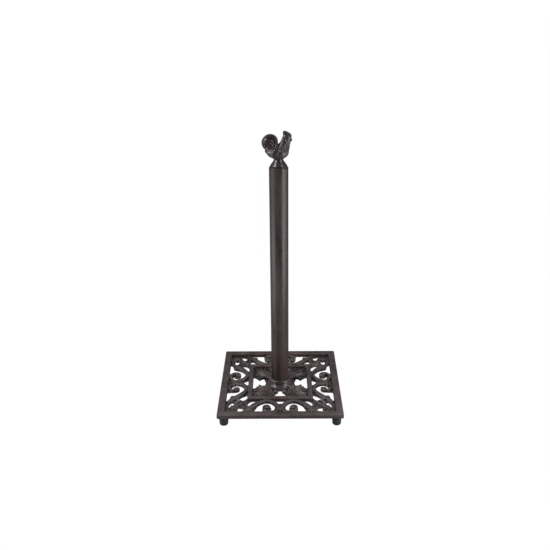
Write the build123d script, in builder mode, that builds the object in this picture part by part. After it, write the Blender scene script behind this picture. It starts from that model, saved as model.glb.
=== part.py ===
"""Free-standing paper towel holder: an openwork cast-iron base on four rubber-capped feet,
a steel tube for the roll, and a cast rooster finial, all clamped together by one tie rod.

Frame: +Z up, origin on the ground under the middle of the base. The rooster faces +X.
"""

import os

from build123d import *

# ---------------------------------------------------------------- driving dimensions, mm
# Base casting
base_side = 152.0
base_height = 17.7  # ground to the top of the two square frames
plate_thickness = 5.2
rim_width = 9.0
rim_corner_radius = 1.6
inner_frame_side = 82.0  # outside of the inner square frame
inner_frame_bar = 6.1
frame_corner_radius = 0.8
ornament_drop = 1.9  # how far the scrollwork lies below the frames
edge_softening = 0.6  # worn mould edges

# Boss that carries the tube
boss_rise = 6.9  # collar top above the frames
boss_foot_radius = 17.6
boss_hollow = 0.35  # the flare's middle as a share of its run and rise, 0.5 being straight
collar_wall = 1.9
bead_height = 2.6
socket_depth = 4.0
boss_floor = 3.1  # iron between the tube's seat and the nut recess
recess_radius = 8.6

# Tube
tube_diameter = 22.0
tube_wall = 1.5
roll_height = 280.7  # top of the frames to the rim of the tube
tube_rim_chamfer = 0.3

# Tie rod and its fasteners, M6
rod_diameter = 5.9
thread_pitch = 1.0
thread_depth = 0.55
rod_end_chamfer = 0.5
rod_past_nut = 1.5
nut_across_flats = 10.0
nut_thickness = 5.0
nut_edge_chamfer = 0.45
flat_washer_diameter = 12.0
flat_washer_thickness = 1.6
spring_washer_diameter = 11.4
spring_washer_thickness = 1.6
spring_washer_gap = 0.9

# Finial
spigot_length = 8.0
tapped_depth = 14.0  # blind threaded hole, from the spigot's end
rod_engagement = 10.0  # length of rod screwed into the finial
flange_overlap = 0.6  # how far the pedestal's flange covers the tube's wall
flange_height = 1.1
shoulder_height = 2.7  # tube's rim to the start of the pedestal's cone
shoulder_step = 0.7
pedestal_height = 8.4
waist_radius = 5.4
rooster_scale = 1.0
tail_radius = 9.7
tail_thickness = 8.4
tail_edge_radius = 1.6
comb_thickness = 2.4
beak_thickness = 2.0

# Feet
foot_inset = 7.9  # foot axis to the side of the base
peg_diameter = 6.0
cap_diameter = 11.3
cap_top_gap = 0.8
cap_floor = 3.6
cap_edge_radius = 1.6
cap_taper = 0.35

# Fits, all radial
socket_clearance = 0.12
spigot_clearance = 0.3
rod_hole_clearance = 0.3
thread_clearance = 0.06
cap_clearance = 0.04

# ---------------------------------------------------------------- values that follow
base_half = base_side / 2
plate_bottom = base_height - plate_thickness
ornament_top = base_height - ornament_drop
rim_inside = base_half - rim_width
frame_outside = inner_frame_side / 2
frame_inside = frame_outside - inner_frame_bar
band_width = rim_inside - frame_outside

tube_radius = tube_diameter / 2
tube_bore = tube_radius - tube_wall
tube_top = base_height + roll_height
collar_neck_radius = tube_radius + collar_wall
collar_top = base_height + boss_rise
bead_bottom = collar_top - bead_height
tube_seat = collar_top - socket_depth
recess_ceiling = tube_seat - boss_floor

rod_radius = rod_diameter / 2
rod_hole_radius = rod_radius + rod_hole_clearance
thread_bore = rod_radius + thread_clearance
flat_washer_bottom = recess_ceiling - flat_washer_thickness
spring_washer_bottom = flat_washer_bottom - spring_washer_thickness
nut_bottom = spring_washer_bottom - nut_thickness
rod_bottom = nut_bottom - rod_past_nut

spigot_radius = tube_bore - spigot_clearance
spigot_end = tube_top - spigot_length
rod_top = spigot_end + rod_engagement
flange_radius = tube_bore + flange_overlap
shoulder_top = tube_top + shoulder_height
waist_top = tube_top + pedestal_height

foot_at = base_half - foot_inset
peg_radius = peg_diameter / 2
cap_radius = cap_diameter / 2
cap_top = plate_bottom - cap_top_gap


# ---------------------------------------------------------------- ornament layout
def band(across, along):
    """A point in the scroll band on the +X side. Across runs from the inner frame (0) to
    the rim (1), along runs from the middle of the side (0) to the rim's corner (1)."""
    return (frame_outside + across * band_width, along * rim_inside)


def panel(across, along):
    """A point in the middle panel, +X side, as shares of the panel's half width."""
    return (across * frame_inside, along * frame_inside)


volute_centre = band(0.605, 0.240)
volute_radius = 0.205 * band_width
eye_radius = 0.125 * band_width
leaf_eye_centre = panel(0.610, 0.158)
leaf_eye_radius = 0.092 * frame_inside


def scroll_opening():
    """The hook-shaped opening between the arched stem, the volute and the rim."""
    volute_x, volute_y = volute_centre
    hook = band(0.775, 0.222)
    with BuildSketch() as opening:
        with BuildLine():
            Spline(
                hook,
                band(0.800, 0.175),
                band(0.700, 0.118),
                band(0.500, 0.098),
                band(0.265, 0.148),
                band(0.160, 0.240),
                band(0.235, 0.335),
                band(0.440, 0.415),
                band(0.640, 0.448),
                band(0.790, 0.480),
                band(0.850, 0.560),
                band(0.935, 0.630),
            )
            Line(band(0.935, 0.630), band(1.0, 0.640))
            Line(band(1.0, 0.640), band(1.0, 0.332))
            Line(band(1.0, 0.332), (volute_x, volute_y + volute_radius))
            disc = CenterArc(volute_centre, volute_radius, 90, 220)
            Line(disc @ 1, hook)
        make_face()
    return opening.sketch


def stem_opening():
    """The leaf-shaped opening between the inner frame's corner and the stem's tail."""
    with BuildSketch() as opening:
        with BuildLine():
            Spline(
                band(0.0, 0.425),
                band(0.150, 0.455),
                band(0.320, 0.508),
                band(0.430, 0.560),
            )
            Spline(
                band(0.430, 0.560),
                band(0.300, 0.600),
                band(0.130, 0.575),
                band(0.0, 0.500),
            )
            Line(band(0.0, 0.500), band(0.0, 0.425))
        make_face()
    return opening.sketch


def corner_opening():
    """The heart-shaped opening beside the corner leaf."""
    with BuildSketch() as opening:
        with BuildLine():
            Spline(
                band(0.575, 0.775),
                band(0.600, 0.705),
                band(0.690, 0.668),
                band(0.790, 0.705),
                band(0.850, 0.770),
                band(0.860, 0.825),
            )
            ThreePointArc(band(0.860, 0.825), band(0.715, 0.772), band(0.575, 0.775))
        make_face()
    return opening.sketch


def middle_opening():
    """The small four-sided opening where two arches part from the inner frame."""
    with BuildSketch() as opening:
        with BuildLine():
            ThreePointArc(band(0.0, 0.080), band(0.090, 0.058), band(0.215, 0.030))
            Line(band(0.215, 0.030), band(0.215, 0.0))
            Line(band(0.0, 0.0), band(0.0, 0.080))
            mirror(about=Plane.XZ)
        make_face()
    return opening.sketch


def panel_opening(with_eyes):
    """The bow-shaped opening at the middle of a panel's side, between two leaves. At the front
    and back the leaves end in round eyes, which stand in its far corners."""
    with BuildSketch() as opening:
        with BuildLine():
            Line(panel(1.0, 0.0), panel(1.0, 0.365))
            ThreePointArc(panel(1.0, 0.365), panel(0.860, 0.275), panel(0.765, 0.140))
            ThreePointArc(panel(0.765, 0.140), panel(0.700, 0.240), panel(0.605, 0.280))
            Line(panel(0.605, 0.280), panel(0.525, 0.0))
            mirror(about=Plane.XZ)
        make_face()
        if with_eyes:
            for side in (1, -1):
                with Locations((leaf_eye_centre[0], side * leaf_eye_centre[1])):
                    Circle(leaf_eye_radius, mode=Mode.SUBTRACT)
    return opening.sketch


def all_openings():
    """Every opening of the base, from those of half of its +X side."""
    with BuildSketch() as side:
        add([scroll_opening(), stem_opening(), corner_opening()])
        mirror(about=Plane.XZ)
        add(middle_opening())
    with BuildSketch() as openings:
        with PolarLocations(0, 4):
            add(side.sketch)
        with PolarLocations(0, 2):
            add(panel_opening(with_eyes=False))
        with PolarLocations(0, 2, start_angle=90):
            add(panel_opening(with_eyes=True))
    return openings.sketch


def make_base():
    """Rim, inner frame, scrollwork, leaves, boss and foot pegs: one iron casting."""
    with BuildPart() as base_casting:
        # Scrollwork: a web with the openings cut through it
        with BuildSketch(Plane.XY.offset(plate_bottom)):
            Rectangle(rim_inside + base_half, rim_inside + base_half)
            add(all_openings(), mode=Mode.SUBTRACT)
        extrude(amount=ornament_top - plate_bottom)

        # The two square frames stand above it
        for outside, inside, corner in (
            (base_half, rim_inside, rim_corner_radius),
            (frame_outside, frame_inside, frame_corner_radius),
        ):
            with BuildSketch(Plane.XY.offset(plate_bottom)):
                RectangleRounded(2 * outside, 2 * outside, corner)
                Rectangle(2 * inside, 2 * inside, mode=Mode.SUBTRACT)
            extrude(amount=plate_thickness)
            frame_top = faces(Select.LAST).filter_by(Plane.XY).sort_by(Axis.Z)[-1]
            chamfer(frame_top.edges(), edge_softening)

        # Eyes of the scrolls and of the leaves, as low domes
        for (across, along), radius, sides, first in (
            (volute_centre, eye_radius, 4, 0),
            (leaf_eye_centre, leaf_eye_radius, 2, 90),
        ):
            with PolarLocations(0, sides, start_angle=first):
                with Locations((across, along, ornament_top), (across, -along, ornament_top)):
                    Sphere(radius, arc_size1=0)

        # Boss with its beaded collar
        with BuildSketch(Plane.XZ):
            with BuildLine():
                Polyline(
                    (collar_neck_radius, collar_top),
                    (0, collar_top),
                    (0, plate_bottom),
                    (boss_foot_radius, plate_bottom),
                    (boss_foot_radius, ornament_top),
                )
                ThreePointArc(
                    (boss_foot_radius, ornament_top),
                    (
                        collar_neck_radius + boss_hollow * (boss_foot_radius - collar_neck_radius),
                        ornament_top + boss_hollow * (bead_bottom - ornament_top),
                    ),
                    (collar_neck_radius, bead_bottom),
                )
                ThreePointArc(
                    (collar_neck_radius, bead_bottom),
                    (collar_neck_radius + bead_height / 2, (bead_bottom + collar_top) / 2),
                    (collar_neck_radius, collar_top),
                )
            make_face()
        revolve(axis=Axis.Z)

        # Pegs for the rubber caps
        with BuildSketch(Plane.XY.offset(cap_floor)):
            with GridLocations(2 * foot_at, 2 * foot_at, 2, 2):
                Circle(peg_radius)
        extrude(amount=plate_bottom - cap_floor)

        # Socket for the tube, hole for the rod, recess for the nut
        with Locations((0, 0, collar_top)):
            Hole(tube_radius + socket_clearance, depth=socket_depth)
            Hole(rod_hole_radius)
        with BuildSketch(Plane.XY.offset(plate_bottom)):
            Circle(recess_radius)
        extrude(amount=recess_ceiling - plate_bottom, mode=Mode.SUBTRACT)
    return base_casting


# ---------------------------------------------------------------- tube, rod and fasteners
def make_tube():
    with BuildPart() as post_tube:
        with BuildSketch(Plane.XY.offset(tube_seat)):
            Circle(tube_radius)
            Circle(tube_bore, mode=Mode.SUBTRACT)
        extrude(amount=tube_top - tube_seat)
        outer_edges = edges().filter_by(GeomType.CIRCLE).group_by(SortBy.RADIUS)[-1]
        chamfer(outer_edges, tube_rim_chamfer)
    return post_tube


def thread_grooves(first, last):
    """Outline points of a thread drawn as rings, between two heights, bottom to top."""
    points = []
    for turn in range(round((last - first) / thread_pitch)):
        start = first + turn * thread_pitch
        points.append((rod_radius, start))
        points.append((rod_radius - thread_depth, start + thread_pitch / 2))
    return points


def make_rod():
    """Rod with threads at its two ends only."""
    lower_thread = thread_grooves(rod_bottom + rod_end_chamfer, flat_washer_bottom)
    upper_thread = thread_grooves(spigot_end - thread_pitch, rod_top - rod_end_chamfer)
    with BuildPart() as tie_rod:
        with BuildSketch(Plane.XZ):
            with BuildLine():
                Polyline(
                    (0, rod_bottom),
                    (rod_radius - rod_end_chamfer, rod_bottom),
                    *lower_thread,
                    (rod_radius, lower_thread[-1][1] + thread_pitch / 2),
                    *upper_thread,
                    (rod_radius, upper_thread[-1][1] + thread_pitch / 2),
                    (rod_radius - rod_end_chamfer, rod_top),
                    (0, rod_top),
                    close=True,
                )
            make_face()
        revolve(axis=Axis.Z)
    return tie_rod


def make_flat_washer():
    with BuildPart() as flat_washer:
        with BuildSketch(Plane.XY.offset(flat_washer_bottom)):
            Circle(flat_washer_diameter / 2)
            Circle(rod_hole_radius, mode=Mode.SUBTRACT)
        extrude(amount=flat_washer_thickness)
    return flat_washer


def make_spring_washer():
    """Split ring, squeezed flat by the nut."""
    with BuildPart() as spring_washer:
        with BuildSketch(Plane.XY.offset(spring_washer_bottom)):
            Circle(spring_washer_diameter / 2)
            Circle(rod_hole_radius, mode=Mode.SUBTRACT)
            with Locations((spring_washer_diameter / 2, 0)):
                Rectangle(spring_washer_diameter, spring_washer_gap, mode=Mode.SUBTRACT)
        extrude(amount=spring_washer_thickness)
    return spring_washer


def make_nut():
    """Hexagon nut with both faces turned back to a circle."""
    corner_radius = nut_across_flats / 3**0.5
    with BuildPart() as clamp_nut:
        with BuildSketch(Plane.XY.offset(nut_bottom)):
            RegularPolygon(corner_radius, 6)
        extrude(amount=nut_thickness)
        with BuildSketch(Plane.XZ):
            with BuildLine():
                Polyline(
                    (0, nut_bottom),
                    (corner_radius - 2 * nut_edge_chamfer, nut_bottom),
                    (corner_radius, nut_bottom + nut_edge_chamfer),
                    (corner_radius, spring_washer_bottom - nut_edge_chamfer),
                    (corner_radius - 2 * nut_edge_chamfer, spring_washer_bottom),
                    (0, spring_washer_bottom),
                    close=True,
                )
            make_face()
        revolve(axis=Axis.Z, mode=Mode.INTERSECT)
        with Locations((0, 0, nut_bottom)):
            Hole(thread_bore)
    return clamp_nut


# ---------------------------------------------------------------- feet
def make_cap(x, y):
    """Slip-on rubber foot, rounded at the floor, on the peg at x, y."""
    with BuildPart() as rubber_cap:
        with BuildSketch(Plane(origin=(x, y, 0), x_dir=(1, 0, 0), z_dir=(0, -1, 0))) as profile:
            with BuildLine():
                Polyline(
                    (0, 0),
                    (cap_radius - cap_taper, 0),
                    (cap_radius, cap_top),
                    (peg_radius + cap_clearance, cap_top),
                    (peg_radius + cap_clearance, cap_floor),
                    (0, cap_floor),
                    close=True,
                )
            make_face()
            floor_corner = profile.vertices().group_by(Axis.Y)[0].sort_by(Axis.X)[-1]
            fillet(floor_corner, cap_edge_radius)
        revolve(axis=Axis((x, y, 0), (0, 0, 1)))
    return rubber_cap


# ---------------------------------------------------------------- finial
def rooster(forward, above):
    """A point of the rooster's side view: forward towards the beak, above the tube's rim."""
    return (forward * rooster_scale, waist_top + (above - pedestal_height) * rooster_scale)


def rooster_body():
    """Body, neck and head, lofted through oval sections from the pedestal upwards."""
    # height above the rim, middle, half length and half width of each section
    sections = (
        (7.4, -0.2, 5.2, 4.9),
        (9.6, 0.0, 6.4, 5.3),
        (11.9, -0.7, 10.1, 6.1),
        (14.6, -0.9, 12.1, 6.8),
        (18.6, -1.8, 13.6, 6.9),
        (22.6, 2.8, 9.7, 6.2),
        (26.0, 6.2, 6.6, 4.8),
        (30.0, 8.2, 5.4, 3.7),
        (33.4, 9.4, 4.7, 3.2),
        (36.0, 9.0, 3.6, 2.1),
    )
    with BuildPart() as body:
        for above, middle, half_length, half_width in sections:
            x, z = rooster(middle, above)
            with BuildSketch(Plane((x, 0, z))):
                Ellipse(half_length * rooster_scale, half_width * rooster_scale)
        loft()
    return body.part


def rooster_tail():
    """Round fan of tail feathers, thickest in the middle."""
    x, z = rooster(-9.6, 27.4)
    half = tail_thickness / 2
    rounding = tail_radius - 0.45 * tail_edge_radius
    cheek = (0.53 * tail_radius, 0.88 * half)
    with BuildPart() as tail:
        with BuildSketch(Plane((x, 0, z))):
            with BuildLine():
                ThreePointArc((0, half), cheek, (rounding, tail_edge_radius))
                ThreePointArc((rounding, tail_edge_radius), (tail_radius, 0), (rounding, -tail_edge_radius))
                ThreePointArc((rounding, -tail_edge_radius), (cheek[0], -cheek[1]), (0, -half))
                Line((0, -half), (0, half))
            make_face()
            scale(by=rooster_scale)
        revolve(axis=Axis((x, 0, z), (0, 1, 0)))
    return tail.part


def rooster_head():
    """Comb, beak and wattle: thin pieces in the middle of the head."""
    comb = ((9.0, 32.0), (5.2, 34.4), (4.7, 38.8), (5.6, 40.7), (9.2, 39.6), (12.9, 37.6), (14.5, 35.6))
    beak = ((9.0, 34.8), (14.9, 34.0), (15.4, 29.7), (14.6, 27.8), (13.1, 26.2), (12.8, 23.4), (11.0, 23.2))
    with BuildPart() as head:
        for outline, thickness in ((comb, comb_thickness), (beak, beak_thickness)):
            with BuildSketch(Plane.XZ):
                with BuildLine():
                    Polyline(*(rooster(*point) for point in outline), close=True)
                make_face()
            extrude(amount=thickness / 2, both=True)
    return head.part


def make_finial():
    """Rooster, its pedestal and the spigot that centres it in the tube."""
    with BuildPart() as finial_casting:
        add([rooster_body(), rooster_tail(), rooster_head()])
        with BuildSketch(Plane.XZ):
            with BuildLine():
                Polyline(
                    (0, spigot_end),
                    (spigot_radius, spigot_end),
                    (spigot_radius, tube_top),
                    (flange_radius, tube_top),
                    (flange_radius, tube_top + flange_height),
                    (flange_radius - shoulder_step, shoulder_top),
                    (waist_radius, waist_top),
                    (0, waist_top),
                    close=True,
                )
            make_face()
        revolve(axis=Axis.Z)
        with BuildSketch(Plane.XY.offset(spigot_end)):
            Circle(thread_bore)
        extrude(amount=tapped_depth, mode=Mode.SUBTRACT)
    return finial_casting


# ---------------------------------------------------------------- build and export
def write(piece, name):
    piece.part.label = name
    export_step(piece.part, f"parts/{name}.step")


os.makedirs("parts", exist_ok=True)
write(make_base(), "base_casting")
write(make_tube(), "post_tube")
write(make_rod(), "tie_rod")
write(make_flat_washer(), "flat_washer")
write(make_spring_washer(), "spring_washer")
write(make_nut(), "clamp_nut")
write(make_finial(), "finial_casting")
for end, y in (("front", -foot_at), ("back", foot_at)):
    for hand, x in (("left", -foot_at), ("right", foot_at)):
        write(make_cap(x, y), f"rubber_cap_{end}_{hand}")
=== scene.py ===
# %% [markdown]
# # A cast-iron paper towel holder
# The holder is four things clamped together: an openwork iron base on rubber feet, a steel tube
# for the roll, a cast rooster on top, and a threaded rod that pulls them together.
# The engineering model already has every size and fit. This lesson builds what the eye sees:
# the relief of the scrollwork, the feathers of the rooster, and the antique paint over all of it.
# Everything is in metres, in the frame of the engineering model, with Z up.

# %% Load the engineering model as a fixed frame
import math
import bpy
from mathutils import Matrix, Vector


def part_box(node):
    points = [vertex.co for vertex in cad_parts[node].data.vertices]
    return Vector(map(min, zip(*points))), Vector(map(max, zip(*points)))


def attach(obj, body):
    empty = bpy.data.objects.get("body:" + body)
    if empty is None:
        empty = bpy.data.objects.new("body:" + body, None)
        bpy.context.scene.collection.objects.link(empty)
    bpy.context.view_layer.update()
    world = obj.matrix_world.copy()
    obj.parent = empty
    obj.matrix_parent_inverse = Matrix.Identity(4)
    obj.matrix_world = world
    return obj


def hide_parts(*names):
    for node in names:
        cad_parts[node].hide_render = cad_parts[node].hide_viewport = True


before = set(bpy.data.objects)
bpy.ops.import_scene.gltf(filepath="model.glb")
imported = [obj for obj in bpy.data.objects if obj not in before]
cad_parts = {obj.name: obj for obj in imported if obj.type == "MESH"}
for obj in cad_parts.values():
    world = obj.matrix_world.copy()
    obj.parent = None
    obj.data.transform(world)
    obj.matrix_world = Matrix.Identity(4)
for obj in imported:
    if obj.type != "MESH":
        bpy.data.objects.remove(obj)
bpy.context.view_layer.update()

MM = 0.001

# %% [markdown]
# ## Camera, floor and light
# The camera comes first, because it settles which shapes need most care. It stands a little
# above the rooster and looks down on the base, as a person at a kitchen counter does.
# The floor is one large pale sheet, and it and the sky are seen as plain white.
# A round tube in dark paint is drawn by what it mirrors. One broad light in front would grey all
# of it, so tall soft boxes stand at its left and right instead: each draws one long highlight,
# and nothing stands between them, so the middle stays dark. A dim wing and two low cards light
# the sides near the floor, a large box above and behind lights the level faces, and a smaller key
# light from the upper left puts glints on the castings.

# %% Camera and stage
CAMERA_AT = (0.00175, -0.69336, 0.46269)
CAMERA_TURN = (66.872, 0.518, 0.359)  # degrees
CAMERA_LENS = 40.92  # mm
CAMERA_SENSOR = 36.0  # mm
FLOOR_SIDE = 60.0
FLOOR_GREY = 0.35
FLOOR_WHITE_SHARE = 0.97
WHITE_STRENGTH = 1.03
SKY_STRENGTH = 0.15
WHITE = (1, 1, 1, 1)

bpy.ops.object.camera_add(location=CAMERA_AT, rotation=[math.radians(a) for a in CAMERA_TURN])
camera = bpy.context.object
camera.name = "camera"
camera.data.lens = CAMERA_LENS
camera.data.sensor_width = CAMERA_SENSOR
camera.data.clip_start = 0.01
bpy.context.scene.camera = camera


def principled(name, color, roughness, metallic=0.0):
    """A new material and its Principled BSDF, with the three values that every finish sets."""
    material = bpy.data.materials.new(name)
    material.use_nodes = True
    shader = material.node_tree.nodes["Principled BSDF"]
    shader.inputs["Base Color"].default_value = (*color, 1)
    shader.inputs["Roughness"].default_value = roughness
    shader.inputs["Metallic"].default_value = metallic
    return material, shader


def feed(tree, socket, value):
    """Sets a socket to a number or a colour, or links another socket to it."""
    if isinstance(value, (int, float)):
        socket.default_value = value
    elif isinstance(value, tuple):
        socket.default_value = (*value, 1)
    else:
        tree.links.new(value, socket)


def calculate(tree, operation, *values):
    """The result of a Math node that is fed with numbers or sockets."""
    node = tree.nodes.new("ShaderNodeMath")
    node.operation = operation
    for socket, value in zip(node.inputs, values):
        feed(tree, socket, value)
    return node.outputs[0]


def seen_white(tree, lit, output, share):
    """Mixes plain white into what a lit surface or sky shows the camera, like an overexposed sweep."""
    kind = "ShaderNodeEmission" if output.type == "OUTPUT_MATERIAL" else "ShaderNodeBackground"
    glow = tree.nodes.new(kind)
    glow.inputs["Color"].default_value = WHITE
    glow.inputs["Strength"].default_value = WHITE_STRENGTH
    seen = tree.nodes.new("ShaderNodeLightPath").outputs["Is Camera Ray"]
    mix = tree.nodes.new("ShaderNodeMixShader")
    tree.links.new(calculate(tree, "MULTIPLY", seen, share), mix.inputs[0])
    tree.links.new(lit, mix.inputs[1])
    tree.links.new(glow.outputs[0], mix.inputs[2])
    tree.links.new(mix.outputs[0], output.inputs["Surface"])


bpy.ops.mesh.primitive_plane_add(size=FLOOR_SIDE, location=(0, 0, 0))
floor = bpy.context.object
floor.name = "floor"
paper, paper_shader = principled("pale_floor", [FLOOR_GREY] * 3, 0.9)
paper_output = paper.node_tree.nodes["Material Output"]
seen_white(paper.node_tree, paper_shader.outputs[0], paper_output, FLOOR_WHITE_SHARE)
floor.data.materials.append(paper)


def soft_box(name, place, target, size, power):
    """A rectangular area light that faces target. The camera doesn't see the light itself."""
    bpy.ops.object.light_add(type="AREA", location=place)
    light = bpy.context.object
    light.name = name
    light.data.shape = "RECTANGLE"
    light.data.size, light.data.size_y = size
    light.data.energy = power
    light.visible_camera = False
    light.rotation_euler = (Vector(target) - Vector(place)).to_track_quat("-Z", "Y").to_euler()


# Name, place, what it faces, width and height in metres, and power in watts
soft_box("left_box", (-0.72, -0.2, 0.36), (0, 0, 0.2), (0.8, 0.75), 2.2)
soft_box("right_box", (0.45, -0.28, 0.42), (0, 0, 0.3), (0.26, 0.84), 3.0)
soft_box("right_wing", (0.6, 0.0, 0.1), (0, 0, 0.12), (0.26, 0.4), 0.6)
soft_box("left_card", (-0.3, -0.1, 0.012), (0, 0, 0.16), (0.26, 0.3), 0.5)
soft_box("right_card", (0.26, -0.19, 0.012), (0, 0, 0.16), (0.16, 0.3), 0.4)
soft_box("top_box", (0.0, 0.8, 1.4), (0, 0, 0), (1.6, 1.2), 8.0)
soft_box("key_light", (-0.7, -0.3, 0.9), (0, 0, 0.25), (0.35, 0.35), 7.0)

world = bpy.data.worlds.new("studio")
world.use_nodes = True
sky = world.node_tree.nodes["Background"]
sky.inputs["Color"].default_value = WHITE
sky.inputs["Strength"].default_value = SKY_STRENGTH
seen_white(world.node_tree, sky.outputs[0], world.node_tree.nodes["World Output"], 1.0)
bpy.context.scene.world = world
bpy.context.scene.view_settings.view_transform = "Standard"
print("camera at", CAMERA_AT, "lights:", len(bpy.data.lights))

# %% [markdown]
# ## Sizes
# The overall sizes are read from the engineering model's boxes, so they can't drift from it. The
# three that no box gives are the driving sizes it was drawn with. Every shape below is drawn in
# millimetres from the axis of the post, and turned into metres as it is made.

# %% Sizes of the base
base_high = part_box("base_casting")[1]
HALF = base_high.x / MM
COLLAR_TOP = base_high.z / MM
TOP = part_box("post_tube")[1].z / MM
RIM_WIDTH = 9.0
RIM_INSIDE = HALF - RIM_WIDTH
FRAME_TOP = 17.7
WEB_TOP = 15.8
print("half side", round(HALF, 2), "tube rim at", round(TOP, 2))

# %% [markdown]
# ## Modelling as with clay
# A pattern maker lays rolls of wax on a board, presses them together and smooths the joins.
# Extruded faces would leave hard steps, and sculpting by hand can't be repeated exactly, so the
# same is done here as with wax: each stem, leaf vein and feather is a tapered roll, drawn as a
# curve whose points carry a radius. All rolls of a casting are turned into one mesh, joined to
# the plain solid below them, and fused by the Remesh modifier, which rounds the creases as
# casting in sand does.

# %% Helpers for rolls of clay
NO_LIMIT = 10**7  # triangles
CURVE_STEPS = 6
CURVE_ORDER = 3
BALL_SEGMENTS = 20
BALL_RINGS = 12
SMOOTH_FACTOR = 0.5


def deselect():
    """Lets go of everything, because an operator acts on all that is selected."""
    bpy.ops.object.select_all(action="DESELECT")


def pick(piece):
    """Selects one piece alone and makes it the active one."""
    deselect()
    piece.select_set(True)
    bpy.context.view_layer.objects.active = piece


def apply_modifiers(piece):
    """Makes the shapes of all modifiers permanent, in their order."""
    pick(piece)
    for modifier in list(piece.modifiers):
        bpy.ops.object.modifier_apply(modifier=modifier.name)


def clay_rolls(name, rolls, sides=2):
    """One mesh of many tapered rolls. A roll is a list of (x, y, z, radius) in millimetres."""
    curve = bpy.data.curves.new(name, "CURVE")
    curve.dimensions = "3D"
    curve.bevel_depth = MM
    curve.bevel_resolution = sides
    curve.use_fill_caps = True
    curve.resolution_u = CURVE_STEPS
    for roll in rolls:
        spline = curve.splines.new("NURBS")
        spline.points.add(len(roll) - 1)
        for point, (x, y, z, radius) in zip(spline.points, roll):
            point.co = (x * MM, y * MM, z * MM, 1)
            point.radius = radius
        spline.order_u = CURVE_ORDER
        spline.use_endpoint_u = True
    piece = bpy.data.objects.new(name, curve)
    bpy.context.collection.objects.link(piece)
    pick(piece)
    bpy.ops.object.convert(target="MESH")
    return bpy.context.object


def clay_ball(name, place, radii):
    """A ball squashed to three radii, in millimetres."""
    location = [c * MM for c in place]
    bpy.ops.mesh.primitive_uv_sphere_add(
        segments=BALL_SEGMENTS, ring_count=BALL_RINGS, location=location
    )
    ball = bpy.context.object
    ball.name = name
    bpy.ops.transform.resize(value=[r * MM for r in radii])
    bpy.ops.object.transform_apply(location=True, rotation=True, scale=True)
    return ball


def join(pieces, name):
    """Joins the meshes of several pieces into the first, and renames it."""
    deselect()
    for piece in pieces:
        piece.select_set(True)
    bpy.context.view_layer.objects.active = pieces[0]
    bpy.ops.object.join()
    pieces[0].name = name
    return pieces[0]


def fuse(piece, grain, smoothing=0, most_triangles=NO_LIMIT):
    """Fuses overlapping solids into one skin with faces of about grain millimetres."""
    remesh = piece.modifiers.new("fuse", "REMESH")
    remesh.mode = "VOXEL"
    remesh.voxel_size = grain * MM
    apply_modifiers(piece)
    smooth_and_thin(piece, smoothing, most_triangles)


def smooth_and_thin(piece, smoothing, most_triangles):
    """Softens the creases a little, then thins the mesh if it has more triangles than it may."""
    if smoothing:
        smooth = piece.modifiers.new("smooth", "SMOOTH")
        smooth.factor = SMOOTH_FACTOR
        smooth.iterations = smoothing
    triangles = sum(len(face.vertices) - 2 for face in piece.data.polygons)
    if triangles > most_triangles:
        thin = piece.modifiers.new("thin", "DECIMATE")
        thin.ratio = most_triangles / triangles
    apply_modifiers(piece)
    bpy.ops.object.shade_smooth()
    print(piece.name, "had", triangles, "triangles, and has", len(piece.data.polygons), "faces")


def eightfold(rolls):
    """A pattern drawn on half of the +X side, repeated on both halves of all four sides."""
    copies = []
    for cos, sin in ((1, 0), (0, 1), (-1, 0), (0, -1)):
        for side in (1, -1):
            for roll in rolls:
                copies.append([
                    (x * cos - side * y * sin, x * sin + side * y * cos, z, r) for x, y, z, r in roll
                ])
    return copies


# %% [markdown]
# ## The base: plain solid
# The engineering model's casting has the right outline and the right openings, but its scrollwork
# is a flat web. A copy of its mesh is the board for the clay: the flat top of the web is pushed
# down a little, so that the relief can stand proud of it. A second copy, with its web raised
# nearly to the frames, is the mould: at the end, whatever hangs over an opening or stands above
# the frames is drawn back onto the mould's skin, so the openings keep their crisp outlines.

# %% Copy the casting twice
BOARD_DROP = 2.2
MOULD_TOP = FRAME_TOP - 0.25
SAME_POINT = 0.002
SAME_HEIGHT = 0.02
RIM_MARGIN = 0.1


def copy_of_cad(node, name):
    """A copy of a CAD node's mesh with its loose triangles merged."""
    piece = bpy.data.objects.new(name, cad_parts[node].data.copy())
    bpy.context.collection.objects.link(piece)
    pick(piece)
    bpy.ops.object.mode_set(mode="EDIT")
    bpy.ops.mesh.select_all(action="SELECT")
    bpy.ops.mesh.remove_doubles(threshold=SAME_POINT * MM)
    bpy.ops.mesh.select_all(action="DESELECT")
    bpy.ops.object.mode_set(mode="OBJECT")
    return piece


def move_web_top(piece, lift):
    """Moves the level top of the web up or down, on the piece that was picked last."""
    for vertex in piece.data.vertices:
        at_web_top = abs(vertex.co.z / MM - WEB_TOP) < SAME_HEIGHT
        reach = max(abs(vertex.co.x), abs(vertex.co.y))
        vertex.select = at_web_top and reach < (RIM_INSIDE + RIM_MARGIN) * MM
    bpy.ops.object.mode_set(mode="EDIT")
    bpy.ops.transform.translate(value=(0, 0, lift * MM))
    bpy.ops.object.mode_set(mode="OBJECT")
    return piece


board = move_web_top(copy_of_cad("base_casting", "base_iron"), -BOARD_DROP)
mould = move_web_top(copy_of_cad("base_casting", "mould"), MOULD_TOP - WEB_TOP)
print("board:", len(board.data.vertices), "points")

# %% [markdown]
# ## The base: scrolls and leaves
# On the casting one fluted stem and one volute fill half a side, with a leaf in each corner. Only
# that half is drawn, and copied seven times, because the real pattern repeats so too. Each
# entry is a roll: where it runs, how high its middle lies and how thick it is. A wide roll sunk
# deep gives a soft swelling, and a thin one on its back gives the crest of a vein. The stem is
# three rolls side by side, which gives it its flutes.

# %% Rolls of the scroll band
LOW = WEB_TOP - BOARD_DROP
FLUTE_LIFT = 0.45


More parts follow.
